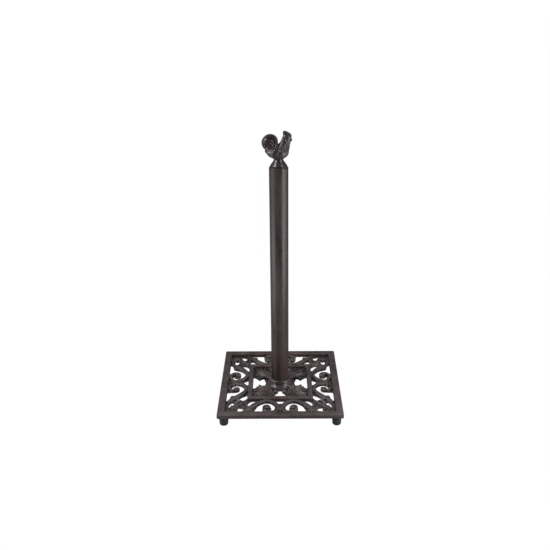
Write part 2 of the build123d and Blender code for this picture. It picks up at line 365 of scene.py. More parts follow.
def flute(path, offsets, radius, height, spread):
    """Parallel rolls beside a path; spread is the share of the offset kept at each point."""
    rolls = []
    for offset in offsets:
        roll = []
        for i, (x, y) in enumerate(path):
            before, after = path[max(i - 1, 0)], path[min(i + 1, len(path) - 1)]
            heading = Vector((after[0] - before[0], after[1] - before[1])).normalized()
            across = offset * spread[i]
            middle = height[i] + FLUTE_LIFT
            roll.append((x - heading.y * across, y + heading.x * across, middle, radius[i]))
        rolls.append(roll)
    return rolls


def lobe(points, swell, crest=0.45):
    """A swelling with a crest along its back. Points are (x, y) and swell is its half width."""
    body = [(x, y, LOW + 0.6 - 0.1 * s, 0.88 * s) for (x, y), s in zip(points, swell)]
    back = [(x, y, LOW + 0.8 + 0.85 * s, crest) for (x, y), s in zip(points, swell)]
    return [body, back]


STEM = [(61.0, 1.4), (55.0, 3.2), (49.5, 5.2), (45.4, 9.0), (43.4, 15.5), (44.4, 21.5), (47.2, 26.8),
        (51.4, 31.8), (56.4, 36.0), (61.5, 40.4), (66.0, 44.6)]
stem = flute(
    STEM,
    offsets=(-1.8, 0.0, 1.8),
    radius=[0.7, 0.9, 1.05, 1.1, 1.1, 1.1, 1.15, 1.15, 1.1, 1.0, 0.7],
    height=[LOW + h for h in (0.9, 1.3, 1.6, 1.6, 1.5, 1.5, 1.6, 1.7, 1.6, 1.3, 0.7)],
    spread=[0.45, 0.75, 1.0, 1.0, 0.85, 0.95, 1.15, 1.2, 1.05, 0.85, 0.6],
)
volute = flute(
    [(61.5, 3.0), (64.6, 7.6), (65.2, 13.5), (63.4, 18.4), (59.6, 20.4), (55.2, 20.0), (52.8, 17.4),
     (52.9, 14.2), (55.0, 12.4)],
    offsets=(-0.9, 0.9),
    radius=[0.7, 0.9, 1.1, 1.2, 1.2, 1.1, 1.0, 0.85, 0.7],
    height=[LOW + h for h in (0.9, 1.2, 1.4, 1.6, 1.7, 1.7, 1.6, 1.4, 1.1)],
    spread=[0.6, 1.0, 1.1, 1.1, 1.0, 0.9, 0.7, 0.5, 0.3],
)
spur = lobe([(54.0, 33.0), (58.0, 32.0), (61.0, 32.4)], [0.8, 1.4, 1.5]) + [
    [(62.0, 32.6, LOW + 0.7, 0.9), (62.6, 35.4, LOW + 0.6, 0.8), (62.0, 37.6, LOW + 0.4, 0.6)],
]
knot = lobe([(48.0, 0.0), (53.5, 0.0), (60.0, 0.0), (65.8, 0.0)], [1.0, 1.9, 1.7, 0.8]) + lobe(
    [(52.4, 1.6), (57.6, 2.8), (63.0, 6.0)], [0.6, 1.1, 0.7], crest=0.35
)
corner_leaf = (
    lobe([(42.5, 42.5), (48.0, 48.0), (54.0, 54.0), (61.0, 61.0)], [1.1, 1.9, 1.5, 0.9], crest=0.6)
    + lobe([(45.5, 43.4), (49.6, 42.4), (53.2, 40.4), (55.6, 38.6)], [1.0, 2.5, 2.3, 0.7])
    + lobe([(48.0, 46.6), (51.8, 46.0), (55.2, 44.6), (57.0, 43.0)], [0.9, 2.0, 1.8, 0.6])
    + lobe([(52.0, 51.2), (55.4, 51.6), (58.0, 51.4)], [0.9, 1.5, 1.0])
    + lobe([(56.0, 56.0), (60.0, 56.4), (64.0, 58.4)], [0.9, 1.5, 0.8])
)

# %% [markdown]
# ### The acanthus leaves
# Four leaves grow from the boss towards the corners of the inner square. Each has one middle
# lobe and four on each side, with grooves between them, and a fluted rib along the edge of the
# opening beside it. A bump texture would give the grooves no depth from the side, so every lobe
# is a swelling roll with a crest. The tips stop just short of the frame, over the low web.

# %% Rolls of the inner leaves and the boss
leaf = (
    lobe([(12.5, 12.5), (19.0, 19.0), (27.0, 27.0), (34.2, 34.2)], [1.0, 1.5, 1.7, 0.8], crest=0.6)
    + lobe([(14.6, 12.8), (21.0, 18.4), (27.6, 24.2), (32.6, 27.6)], [0.8, 1.3, 2.0, 1.1])
    + lobe([(15.0, 11.8), (21.2, 16.4), (27.6, 20.0), (33.0, 20.6)], [0.8, 1.3, 2.0, 1.0])
    + lobe([(15.2, 10.8), (21.4, 14.4), (27.0, 15.6), (32.6, 14.2)], [0.8, 1.2, 1.9, 0.9])
    + lobe([(15.4, 10.6), (20.8, 13.6), (26.0, 13.0), (30.4, 9.6)], [0.7, 1.1, 1.6, 0.6])
    + flute(
        [(13.6, 8.4), (16.8, 10.8), (20.8, 11.2), (24.4, 10.0), (26.9, 7.6), (27.9, 5.2)],
        offsets=(-0.5, 0.7),
        radius=[0.8, 0.9, 0.95, 0.9, 0.8, 0.5],
        height=[LOW + h for h in (1.8, 1.6, 1.5, 1.4, 1.2, 0.6)],
        spread=[0.6, 0.9, 1.0, 0.9, 0.7, 0.3],
    )
)
boss_ribs = [
    [(9.9, 9.9, 19.4, 0.7), (10.9, 10.9, 17.4, 1.2), (13.2, 13.2, 15.6, 1.4),
     (16.4, 16.4, LOW + 1.0, 1.1)],
]
drawn = stem + volute + spur + knot + corner_leaf + leaf + boss_ribs
relief = clay_rolls("relief", eightfold(drawn))
print("relief:", len(relief.data.polygons), "faces")


# %% Rings round the tube's foot
def ring_roll(name, radius, height, thickness):
    """A closed round moulding about the post, in millimetres."""
    bpy.ops.mesh.primitive_torus_add(
        major_segments=96, minor_segments=16,
        major_radius=radius * MM, minor_radius=thickness * MM, location=(0, 0, height * MM),
    )
    ring = bpy.context.object
    ring.name = name
    bpy.ops.object.transform_apply(location=True, rotation=True, scale=True)
    return ring


rings = [
    ring_roll("collar_lip", 12.1, COLLAR_TOP - 0.6, 0.6),
    ring_roll("collar_bead", 13.7, COLLAR_TOP - 2.6, 0.95),
]
print("rings:", len(rings))

# %% [markdown]
# ### Eyes
# The scrolls end in round balls sunk into the web. Two larger ones stand at the front opening
# beside the boss, and two at the back one. They are squashed spheres, pressed in like peas, and
# once all is fused the mould draws back whatever hangs over an opening.

# %% Eyes, then everything fused
EYES = (  # place on the half side, radius and rise over the web
    ((56.6, 16.0), 2.6, 1.1), ((59.4, 53.6), 1.5, 1.2), ((60.2, 35.2), 1.3, 1.2),
)
LEAF_EYE_OUT = 21.3
LEAF_EYE_ASIDE = 5.5
LEAF_EYE_HEIGHT = 14.9
LEAF_EYE_RADII = (3.1, 3.1, 2.6)
BOSS_RADIUS = 24.0
BASE_TRIANGLES = 195000
eyes = []
for place, radius, rise in EYES:
    for roll in eightfold([[(*place, LOW + rise, radius)]]):
        x, y, z, r = roll[0]
        eyes.append(clay_ball("eye", (x, y, z), (r, r, r)))
for end in (1, -1):
    for side in (1, -1):
        place = (side * LEAF_EYE_ASIDE, end * LEAF_EYE_OUT, LEAF_EYE_HEIGHT)
        eyes.append(clay_ball("eye", place, LEAF_EYE_RADII))
print("eyes:", len(eyes))
base = join([board, relief, *rings, *eyes], "base_iron")


def keep_inside(piece, mould, from_radius):
    """Draws back onto the mould whatever stands outside it, away from the boss."""
    scrollwork = piece.vertex_groups.new(name="scrollwork")
    outside = [v.index for v in piece.data.vertices if v.co.xy.length > from_radius * MM]
    scrollwork.add(outside, 1.0, "REPLACE")
    wrap = piece.modifiers.new("keep_inside", "SHRINKWRAP")
    wrap.target = mould
    wrap.wrap_method = "NEAREST_SURFACEPOINT"
    wrap.wrap_mode = "INSIDE"
    wrap.vertex_group = "scrollwork"
    apply_modifiers(piece)
    piece.vertex_groups.clear()


fuse(base, grain=0.45)
keep_inside(base, mould, from_radius=BOSS_RADIUS)
bpy.data.objects.remove(mould)
smooth_and_thin(base, smoothing=1, most_triangles=BASE_TRIANGLES)

# %% [markdown]
# ## Turned pieces
# The tube, the foot of the finial and the rubber caps are round. A cylinder with bevelled edges
# would do for the simplest of them, but not for a lip or a groove. So each is one half outline
# that the Spin operator turns about its axis, as a lathe would, with its seam merged afterwards.

# %% A helper for turned pieces
SEAM_GAP = 0.003
SLIVER = 0.001
SHARP_ANGLE = 32  # degrees


def turned(name, outline, centre=(0.0, 0.0), steps=96):
    """Turns a closed outline of (radius, height) in millimetres about the vertical through centre."""
    deselect()
    bpy.ops.mesh.primitive_plane_add(size=MM)
    piece = bpy.context.object
    piece.name = name
    bpy.ops.object.mode_set(mode="EDIT")
    bpy.ops.mesh.delete(type="VERT")
    bpy.ops.object.mode_set(mode="OBJECT")
    corners = [((centre[0] + r) * MM, centre[1] * MM, z * MM) for r, z in outline]
    piece.data.from_pydata(corners, [(i, (i + 1) % len(corners)) for i in range(len(corners))], [])
    bpy.ops.object.mode_set(mode="EDIT")
    bpy.ops.mesh.select_all(action="SELECT")
    bpy.ops.mesh.spin(
        steps=steps, angle=math.tau, center=(centre[0] * MM, centre[1] * MM, 0), axis=(0, 0, 1),
        use_auto_merge=True,
    )
    bpy.ops.mesh.select_all(action="SELECT")
    bpy.ops.mesh.remove_doubles(threshold=SEAM_GAP * MM)
    bpy.ops.mesh.dissolve_degenerate(threshold=SLIVER * MM)
    bpy.ops.mesh.normals_make_consistent(inside=False)
    bpy.ops.object.mode_set(mode="OBJECT")
    pick(piece)
    bpy.ops.object.shade_smooth_by_angle(angle=math.radians(SHARP_ANGLE))
    return piece


def round_corner(centre, radius, start, turn=90, steps=5):
    """Points of an arc about a centre, from a start angle, with both angles in degrees."""
    points = []
    for i in range(steps + 1):
        angle = math.radians(start + turn * i / steps)
        points.append((centre[0] + radius * math.cos(angle), centre[1] + radius * math.sin(angle)))
    return points


# %% [markdown]
# ## The tube
# The tube is sawn from welded steel tube, and the paint rounds its sawn rim softly. It is turned
# anew at the size of the CAD tube, in many even facets, so that its long highlights run smooth.

# %% Tube
seat, tube_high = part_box("post_tube")
TUBE_RADIUS = tube_high.x / MM
TUBE_WALL = 1.5
TUBE_BORE = TUBE_RADIUS - TUBE_WALL
RIM_ROUND = 0.55
SEAT = seat.z / MM
tube = turned(
    "tube_painted",
    [(TUBE_BORE, SEAT), (TUBE_RADIUS, SEAT)]
    + round_corner((TUBE_RADIUS - RIM_ROUND, TOP - RIM_ROUND), RIM_ROUND, start=0)
    + [(TUBE_BORE + 0.2, TOP), (TUBE_BORE, TOP - 0.2)],
    steps=128,
)
print("tube:", len(tube.data.polygons), "faces, radius", round(TUBE_RADIUS, 2))

# %% [markdown]
# ## The rubber caps
# Each foot is an iron peg with a moulded rubber cap pushed over it. The cap flares slightly
# towards its open top, has a shallow grip groove, and is rounded where it meets the table. All of
# that is in one outline, which is turned about each of the four pegs.

# %% Caps: one outline, turned four times
CAPS = [name for name in sorted(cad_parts) if name.startswith("rubber_cap")]
cap_low, cap_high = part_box(CAPS[0])
CAP_RADIUS = (cap_high.x - cap_low.x) / 2 / MM
CAP_TOP = cap_high.z / MM
PEG_HOLE = 3.04
PEG_END = 3.6
LIP_ROUND = 0.6
GROOVE = CAP_RADIUS - 0.5
CAP_OUTLINE = (
    [(0.0, 0.0), (CAP_RADIUS - 2.3, 0.0)]
    + round_corner((CAP_RADIUS - 2.0, 1.7), 1.65, start=-90, turn=80)
    + [(CAP_RADIUS - 0.2, 4.2), (CAP_RADIUS - 0.12, 7.4), (GROOVE, 7.9), (GROOVE, 8.5)]
    + [(CAP_RADIUS - 0.05, 9.0)]
    + round_corner((CAP_RADIUS - LIP_ROUND, CAP_TOP - LIP_ROUND), LIP_ROUND, start=0, steps=4)
    + [(PEG_HOLE + 0.3, CAP_TOP), (PEG_HOLE, CAP_TOP - 0.3), (PEG_HOLE, PEG_END), (0.0, PEG_END)]
)
caps = []
for node in CAPS:
    cap_low, cap_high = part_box(node)
    centre = ((cap_low.x + cap_high.x) / 2 / MM, (cap_low.y + cap_high.y) / 2 / MM)
    cap = turned(node.replace("rubber_cap", "cap"), CAP_OUTLINE, centre, steps=48)
    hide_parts(node)
    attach(cap, "stand")
    caps.append(cap)
print("caps:", len(caps), "radius", round(CAP_RADIUS, 2))

# %% [markdown]
# ## The rooster
# The rooster is sculpted in two stages, as in wax. First the plain bird: level slices, wide and
# narrow, are bridged into one smooth body and neck, and balls make the head, the tail's fan and
# the thighs. All are fused and smoothed. Then the feathers are thin rolls laid on its skin.
# Feathers drawn straight in space would float or drown, so each is drawn in side view, and a ray
# shot from the side finds how far out the skin is there. So each feather hugs the body, and the
# same drawing serves both sides.

# %% The plain bird
def above_rim(roll):
    """Heights of the rooster are measured from the rim of the tube."""
    return [(x, y, TOP + z, r) for x, y, z, r in roll]


# Height above the rim, middle, half length and half width of each level slice of the body
SLICES = (
    (6.8, -0.1, 5.0, 4.7), (9.0, -0.1, 5.5, 4.9), (10.2, -0.2, 6.9, 5.5), (11.6, -0.7, 9.7, 6.2),
    (14.6, -0.9, 12.1, 6.8), (18.6, -1.8, 13.5, 6.9), (22.4, 2.7, 9.9, 6.1), (26.0, 6.2, 6.6, 4.7),
    (30.0, 8.2, 5.2, 3.7), (33.4, 9.0, 4.6, 3.2), (36.0, 8.8, 3.4, 2.0),
)
CUTS_BETWEEN_SLICES = 3
deselect()
slices = []
for height, middle, half_length, half_width in SLICES:
    location = (middle * MM, 0, (TOP + height) * MM)
    bpy.ops.mesh.primitive_circle_add(vertices=48, radius=MM, location=location)
    bpy.ops.transform.resize(value=(half_length, half_width, 1))
    bpy.ops.object.transform_apply(location=True, rotation=True, scale=True)
    slices.append(bpy.context.object)
trunk = join(slices, "trunk")
bpy.ops.object.mode_set(mode="EDIT")
bpy.ops.mesh.select_all(action="SELECT")
bpy.ops.mesh.bridge_edge_loops(number_cuts=CUTS_BETWEEN_SLICES, interpolation="SURFACE")
bpy.ops.mesh.select_all(action="DESELECT")
bpy.ops.mesh.select_non_manifold()
bpy.ops.mesh.edge_face_add()
bpy.ops.mesh.select_all(action="SELECT")
bpy.ops.mesh.normals_make_consistent(inside=False)
bpy.ops.object.mode_set(mode="OBJECT")
print("trunk:", len(trunk.data.polygons), "faces")
head = clay_ball("head", (9.8, 0, TOP + 32.4), (4.4, 3.2, 4.2))
fan = clay_ball("fan", (-9.8, 0, TOP + 27.2), (9.3, 2.7, 9.2))
fan_root = clay_ball("fan_root", (-9.6, 0, TOP + 20.0), (5.6, 4.0, 5.0))
thighs = [clay_ball("thigh", (-1.5, side * 4.1, TOP + 16.4), (9.0, 3.5, 5.8)) for side in (1, -1)]
bird = join([trunk, head, fan, fan_root, *thighs], "bird")
fuse(bird, grain=0.4, smoothing=6)

# %% Feathers laid on the skin
RAY_START = 30.0  # how far to the side of the bird the rays begin
END_SINK = 0.5  # a feather's ends dip into the skin
HEART = (0.0, 20.0)  # a point that misses the skin is drawn towards it
DRAW_IN = 0.05  # by this share of the way, until it hits
CAPE_FEATHERS = 5
FLIGHT_FEATHERS = 4


def skin(x, z, side):
    """Where a ray from one side, at x and at z above the rim, first meets the bird, or None."""
    start = (x * MM, side * RAY_START * MM, (TOP + z) * MM)
    hit, place, _, _ = bird.ray_cast(start, (0, -side, 0))
    return place if hit else None


def laid(outline, side, lift):
    """A roll drawn in side view as (x, z, radius), laid on the skin of the bird on one side."""
    roll = []
    for x, z, radius in outline:
        place = skin(x, z, side)
        while place is None:
            x, z = x + DRAW_IN * (HEART[0] - x), z + DRAW_IN * (HEART[1] - z)
            place = skin(x, z, side)
        at_end = len(roll) in (0, len(outline) - 1)
        out = abs(place.y) / MM + lift * radius - (END_SINK if at_end else 0.0)
        roll.append((x, side * out, TOP + z, radius))
    return roll


def both_sides(outlines, lift):
    """Lays each feather on both sides, its middle lifted off the skin by a share of its radius."""
    return [laid(outline, side, lift) for outline in outlines for side in (1, -1)]


# Neck: a thick ridge down its back, and a cape of long feathers in front of it
ridge = [[
    (5.5, 34.4, 0.7), (4.8, 31.4, 1.1), (3.6, 27.6, 1.3), (2.4, 23.8, 1.3), (1.2, 20.8, 1.0),
    (0.9, 18.8, 0.4),
]]
cape = []
for feather in range(CAPE_FEATHERS):
    across = feather / (CAPE_FEATHERS - 1)
    cape.append([
        (6.6 + 3.0 * across, 31.0 - 1.0 * across, 0.5), (4.8 + 5.4 * across, 25.6, 0.85),
        (3.6 + 6.6 * across, 20.6 - 1.6 * across, 0.95), (3.4 + 5.6 * across, 16.2 - 2.2 * across, 0.4),
    ])
# Breast: two soft folds
breast = [
    [(10.6, 18.4, 0.6), (9.6, 15.4, 0.9), (7.2, 12.6, 0.5)],
    [(6.6, 14.2, 0.6), (4.6, 12.2, 0.8), (2.4, 10.8, 0.4)],
]
# Wing: a smooth shoulder, and long flight feathers swept back and up
shoulder = [[(2.6, 18.6, 0.8), (0.2, 20.0, 1.9), (-3.4, 19.8, 2.2), (-7.0, 18.6, 1.4)]]
flight = []
for feather in range(FLIGHT_FEATHERS):
    flight.append([
        (1.6 - 0.9 * feather, 18.6 - 1.7 * feather, 0.5),
        (-2.6 - 0.6 * feather, 17.6 - 1.75 * feather, 1.3),
        (-7.2 - 0.1 * feather, 17.6 - 1.75 * feather, 1.45),
        (-12.6 + 0.7 * feather, 19.6 - 1.9 * feather, 0.5),
    ])
# Tail: one sickle arches over the top, and the others fan out backwards from the root
sickles = [
    [(-2.8, 22.8, 1.2), (-1.9, 27.0, 1.8), (-2.9, 31.6, 2.1), (-6.6, 34.8, 2.0), (-11.4, 35.0, 1.8),
     (-15.2, 32.8, 1.5), (-17.4, 30.2, 0.8)],
    [(-4.4, 23.4, 0.9), (-5.6, 27.4, 1.5), (-9.0, 30.6, 1.8), (-13.6, 31.2, 1.7), (-17.8, 29.4, 0.7)],
    [(-5.2, 22.6, 0.9), (-8.0, 26.2, 1.5), (-12.0, 28.2, 1.7), (-15.8, 27.8, 1.5), (-18.4, 26.2, 0.6)],
    [(-5.8, 21.8, 0.9), (-9.4, 24.0, 1.4), (-13.2, 25.0, 1.5), (-16.2, 24.2, 1.3), (-17.6, 23.0, 0.6)],
    [(-6.4, 21.0, 0.9), (-10.0, 21.8, 1.2), (-13.4, 22.0, 1.3), (-15.8, 20.8, 0.6)],
]
feathers = clay_rolls(
    "feathers",
    both_sides(ridge, 0.8) + both_sides(cape + breast, -0.25) + both_sides(shoulder, 0.1)
    + both_sides(flight, 0.35) + both_sides(sickles, 0.2),
    sides=3,
)
print("feathers:", len(feathers.data.polygons), "faces")

# %% [markdown]
# ### Head
# The comb is a thick blade with a rolled rim and shallow grooves between its five points. The
# beak is short and hooked, with two wattles hanging under it and a round eye on each side. They
# lie in the middle plane or stand out from the skin, so they are drawn in space, not laid.

# %% Comb, beak, wattles and eyes
COMB_POINTS = 5
comb = [
    [(5.7, 0, 35.6, 0.7), (5.6, 0, 37.8, 0.85), (5.8, 0, 39.5, 1.0), (7.4, 0, 39.2, 1.2),
     (10.2, 0, 37.9, 1.25), (12.8, 0, 36.2, 1.2), (13.9, 0, 34.6, 1.0), (14.0, 0, 33.2, 0.6)],
]
for point in range(COMB_POINTS):
    root = (8.0 + 0.8 * point, 0, 34.0 - 0.3 * point, 1.2)
    tip = (6.6 + 1.55 * point, 0, 38.9 - 0.95 * point, 1.0)
    comb.append([root, tip])
beak = [
    [(11.6, 0, 31.6, 2.2), (13.4, 0, 31.4, 1.6), (14.7, 0, 30.4, 0.8), (15.0, 0, 29.6, 0.3)],
    [(11.4, 0, 29.6, 1.8), (13.4, 0, 29.0, 1.1), (14.5, 0, 28.5, 0.5)],
]
wattles = [
    [(12.2, side * 1.2, 28.9, 0.8), (12.4, side * 1.5, 27.2, 1.2), (12.2, side * 1.4, 25.6, 0.9)]
    for side in (1, -1)
]
cheeks = both_sides([[(8.4, 31.0, 0.6), (8.0, 29.8, 0.9), (8.4, 28.4, 0.6)]], 0.3)
details = clay_rolls("details", [above_rim(roll) for roll in comb + beak + wattles] + cheeks, sides=4)
eye_balls = [
    clay_ball("eye", (10.7, side * 2.7, TOP + 32.6), (0.85, 0.6, 0.85)) for side in (1, -1)
]
print("details:", len(details.data.polygons), "faces")

# %% [markdown]
# ## The pedestal and the spigot
# The bird stands on a turned cone with a narrow shoulder. Below it a spigot drops into the tube,
# with a bore for the rod. Fusing is for hand-shaped forms, and would blur a machined fit. So the
# bird and the cone are fused, and the foot is turned exactly and added with the Boolean modifier,
# so that it slides out of the tube without touching when the finial is unscrewed.

# %% Cone, then the fused casting
WAIST = 8.4
SHOULDER = 2.7
FLANGE_RADIUS = TUBE_BORE + 0.6
FINIAL_TRIANGLES = 180000
cone_outline = [
    (0.0, 0.7), (FLANGE_RADIUS - 1.0, 0.7), (FLANGE_RADIUS - 0.9, 1.5), (FLANGE_RADIUS - 0.6, 1.7),
    (FLANGE_RADIUS - 0.6, SHOULDER - 0.5), (FLANGE_RADIUS - 0.95, SHOULDER), (7.5, 5.0), (6.0, 7.0),
    (5.3, WAIST), (5.2, WAIST + 1.0), (0.0, WAIST + 1.0),
]
cone = turned("cone", [(radius, TOP + height) for radius, height in cone_outline])
finial = join([bird, feathers, details, *eye_balls, cone], "rooster_iron")
fuse(finial, grain=0.24, smoothing=4, most_triangles=FINIAL_TRIANGLES)


# %% The exact foot
SPIGOT_RADIUS = TUBE_BORE - 0.3
SPIGOT_END = TOP - 8.0
THREAD_BORE = 3.01
BORE_TOP = SPIGOT_END + 14.0
DRILL_POINT = 1.2  # height of the cone that a drill leaves
SEAT_GAP = 0.02
GROOVE_RADIUS = FLANGE_RADIUS - 0.75  # the shadow line between the flange and the tube


def boolean(piece, tool, operation):
    """Adds or cuts a closed solid with the Boolean modifier, and removes the tool."""
    cut = piece.modifiers.new(operation.lower(), "BOOLEAN")
    cut.operation = operation
    cut.solver = "EXACT"
    cut.object = tool
    apply_modifiers(piece)
    bpy.data.objects.remove(tool)


foot = turned(
    "foot",
    [(0.0, SPIGOT_END), (SPIGOT_RADIUS - 0.5, SPIGOT_END), (SPIGOT_RADIUS, SPIGOT_END + 0.5),
     (SPIGOT_RADIUS, TOP + SEAT_GAP), (GROOVE_RADIUS, TOP + SEAT_GAP), (GROOVE_RADIUS, TOP + 0.4),
     (FLANGE_RADIUS - 0.1, TOP + 0.5), (FLANGE_RADIUS, TOP + 0.62), (FLANGE_RADIUS, TOP + 1.0),
     (FLANGE_RADIUS - 0.2, TOP + 1.2), (0.0, TOP + 1.2)],
)
boolean(finial, foot, "UNION")
drill_outline = [
    (0.0, SPIGOT_END - 1.0), (THREAD_BORE, SPIGOT_END - 1.0), (THREAD_BORE, BORE_TOP - DRILL_POINT),
    (0.0, BORE_TOP),
]
drill = turned("drill", drill_outline, steps=64)
boolean(finial, drill, "DIFFERENCE")
print("finial:", len(finial.data.polygons), "faces")

# %% [markdown]
# ## Antique iron
# The paint is a dark brown-black, sprayed thin, with a purplish brown showing through in soft
# patches. Ridges are rubbed lighter, and shade is painted into the colour of the hollows. Noise
# makes the patches, and the Pointiness of the mesh finds ridges and hollows, so the wear and the
# painted shade follow the real relief without anything painted by hand. More than one finish uses
# the mottle, the wear with its painted shade, and the cast grain, so each of the three is a node
# group.

# %% Node groups for the paint
SPOT_SHARE = 0.45  # how strongly the spots break up the patches
WAVE_SHARE = 1.6  # how strongly the waviness outweighs the pits
WEAR_SCALE = 700.0
WAVE_SCALE = 180.0
PATCHES = (0.52, 0.92)  # noise from plain paint to full undercoat
RUBBED = (0.51, 0.62)  # pointiness from unworn to fully worn
# Painted shade: the colour is darkened in the hollows, most in the deepest hollow and not at all on a
# flat face
SHADED = (0.44, 0.5)  # pointiness from deepest hollow to flat
PAINTED_SHADE_DARKEST = 0.1
BREAKUP = (0.3, 0.6)
LEAST_WEAR = 0.25


def new_group(name, inputs, outputs):
    """An empty node group with named sockets, and its input and output nodes."""
    group = bpy.data.node_groups.new(name, "ShaderNodeTree")
    for label, kind, value in inputs:
        socket = group.interface.new_socket(label, in_out="INPUT", socket_type=kind)
        if value is not None:
            socket.default_value = value
    for label, kind in outputs:
        group.interface.new_socket(label, in_out="OUTPUT", socket_type=kind)
    start = group.nodes.new("NodeGroupInput")
    end = group.nodes.new("NodeGroupOutput")
    return group, start, end


def noise(tree, vector, scale, detail=4.0, roughness=0.55):
    """A noise texture whose scale, in cells to the metre, is a number or a socket."""
    node = tree.nodes.new("ShaderNodeTexNoise")
    feed(tree, node.inputs["Scale"], scale)
    node.inputs["Detail"].default_value = detail
    node.inputs["Roughness"].default_value = roughness
    tree.links.new(vector, node.inputs["Vector"])
    return node


def remap(tree, value, low_in, high_in, low_out=0.0, high_out=1.0):
    """Turns one range of values into another, clamped at both ends."""
    node = tree.nodes.new("ShaderNodeMapRange")
    tree.links.new(value, node.inputs["Value"])
    node.inputs["From Min"].default_value = low_in
    node.inputs["From Max"].default_value = high_in
    node.inputs["To Min"].default_value = low_out
    node.inputs["To Max"].default_value = high_out
    return node.outputs["Result"]


def mix_color(tree, factor, first, second, blend="MIX"):
    """Mixes two colours; each may be a colour or a socket."""
    node = tree.nodes.new("ShaderNodeMix")
    node.data_type = "RGBA"
    node.blend_type = blend
    for number, value in ((0, factor), (6, first), (7, second)):  # the colour sockets of this node
        feed(tree, node.inputs[number], value)
    return node.outputs[2]


def mottle_group():
    """Two colours in soft patches with finer spots inside them."""
    group, start, end = new_group(
        "mottle",
        [("Vector", "NodeSocketVector", None), ("Paint", "NodeSocketColor", (0.02, 0.02, 0.02, 1)),
         ("Undercoat", "NodeSocketColor", (0.06, 0.05, 0.05, 1)),
         ("Patch Scale", "NodeSocketFloat", 60.0), ("Spot Scale", "NodeSocketFloat", 420.0)],
        [("Color", "NodeSocketColor"), ("Mask", "NodeSocketFloat")],
    )
    vector = start.outputs["Vector"]
    patches = noise(group, vector, start.outputs["Patch Scale"], detail=3.0)
    spots = noise(group, vector, start.outputs["Spot Scale"], detail=5.0, roughness=0.65)
    both = calculate(
        group, "MULTIPLY_ADD", spots.outputs["Fac"], SPOT_SHARE, patches.outputs["Fac"]
    )
    mask = remap(group, both, *PATCHES)
    color = mix_color(group, mask, start.outputs["Paint"], start.outputs["Undercoat"])
    group.links.new(color, end.inputs["Color"])
    group.links.new(mask, end.inputs["Mask"])
    return group


def wear_and_shade_group():
    """Lighter rubbed ridges, and shade painted into the colour of the hollows. Ridge is 0.5 on a flat
    face and more on an edge.
    """
    group, start, end = new_group(
        "wear_and_painted_shade",
        [("Vector", "NodeSocketVector", None), ("Ridge", "NodeSocketFloat", 0.5),
         ("Color", "NodeSocketColor", None), ("Worn", "NodeSocketColor", (0.16, 0.14, 0.135, 1)),
         ("Amount", "NodeSocketFloat", 0.5)],
        [("Color", "NodeSocketColor")],
    )
    breakup = noise(group, start.outputs["Vector"], WEAR_SCALE, detail=3.0)
    patchy = remap(group, breakup.outputs["Fac"], *BREAKUP, LEAST_WEAR, 1.0)
    ridge = remap(group, start.outputs["Ridge"], *RUBBED)
    broken = calculate(group, "MULTIPLY", ridge, patchy)
    relief_tone = calculate(group, "MULTIPLY", broken, start.outputs["Amount"])
    # Painted shade: the colour is multiplied darker in the hollows, where the relief would shade it
    hollow = remap(group, start.outputs["Ridge"], *SHADED, PAINTED_SHADE_DARKEST, 1.0)
    shaded = mix_color(group, 1.0, start.outputs["Color"], hollow, "MULTIPLY")
    color = mix_color(group, relief_tone, shaded, start.outputs["Worn"])
    group.links.new(color, end.inputs["Color"])
    return group


def grain_group():
    """Height of a sand-cast skin under paint: fine pits and a slow waviness."""
    group, start, end = new_group(
        "cast_grain",
        [("Vector", "NodeSocketVector", None), ("Pit Scale", "NodeSocketFloat", 1100.0)],
        [("Height", "NodeSocketFloat")],
    )
    vector = start.outputs["Vector"]
    pits = noise(group, vector, start.outputs["Pit Scale"], roughness=0.6)
    waves = noise(group, vector, WAVE_SCALE, detail=2.0)
    height = calculate(
        group, "MULTIPLY_ADD", waves.outputs["Fac"], WAVE_SHARE, pits.outputs["Fac"]
    )
    group.links.new(height, end.inputs["Height"])
    return group


mottle, wear_and_painted_shade, cast_grain = mottle_group(), wear_and_shade_group(), grain_group()
print("node groups:", [group.name for group in (mottle, wear_and_painted_shade, cast_grain)])


# %% The paint itself
def place_group(tree, group, **values):
    """Places a node group; a value's name is its socket's, with _ for each space."""
    node = tree.nodes.new("ShaderNodeGroup")
    node.node_tree = group
    for label, value in values.items():
        feed(tree, node.inputs[label.replace("_", " ")], value)
    return node


def coordinates(tree):
    """The piece's own coordinates, so that a pattern stays put when the piece moves."""
    return tree.nodes.new("ShaderNodeTexCoord").outputs["Object"]


def pointiness(tree):
    """How far each point of the mesh stands out or lies in a hollow."""
    return tree.nodes.new("ShaderNodeNewGeometry").outputs["Pointiness"]


def set_color_and_gloss(tree, shader, color, mask, roughness):
    """Feeds a colour, and a roughness that runs between two values as the mask does."""
    tree.links.new(color, shader.inputs["Base Color"])
    tree.links.new(remap(tree, mask, 0.0, 1.0, *roughness), shader.inputs["Roughness"])


def set_grain(tree, shader, place, depth, strength=1.0, pits=1100.0):
    """Gives a finish the cast grain as a bump, with its depth in millimetres."""
    bump = tree.nodes.new("ShaderNodeBump")
    bump.inputs["Distance"].default_value = depth * MM
    bump.inputs["Strength"].default_value = strength
    grain = place_group(tree, cast_grain, Vector=place, Pit_Scale=pits)
    tree.links.new(grain.outputs["Height"], bump.inputs["Height"])
    tree.links.new(bump.outputs["Normal"], shader.inputs["Normal"])


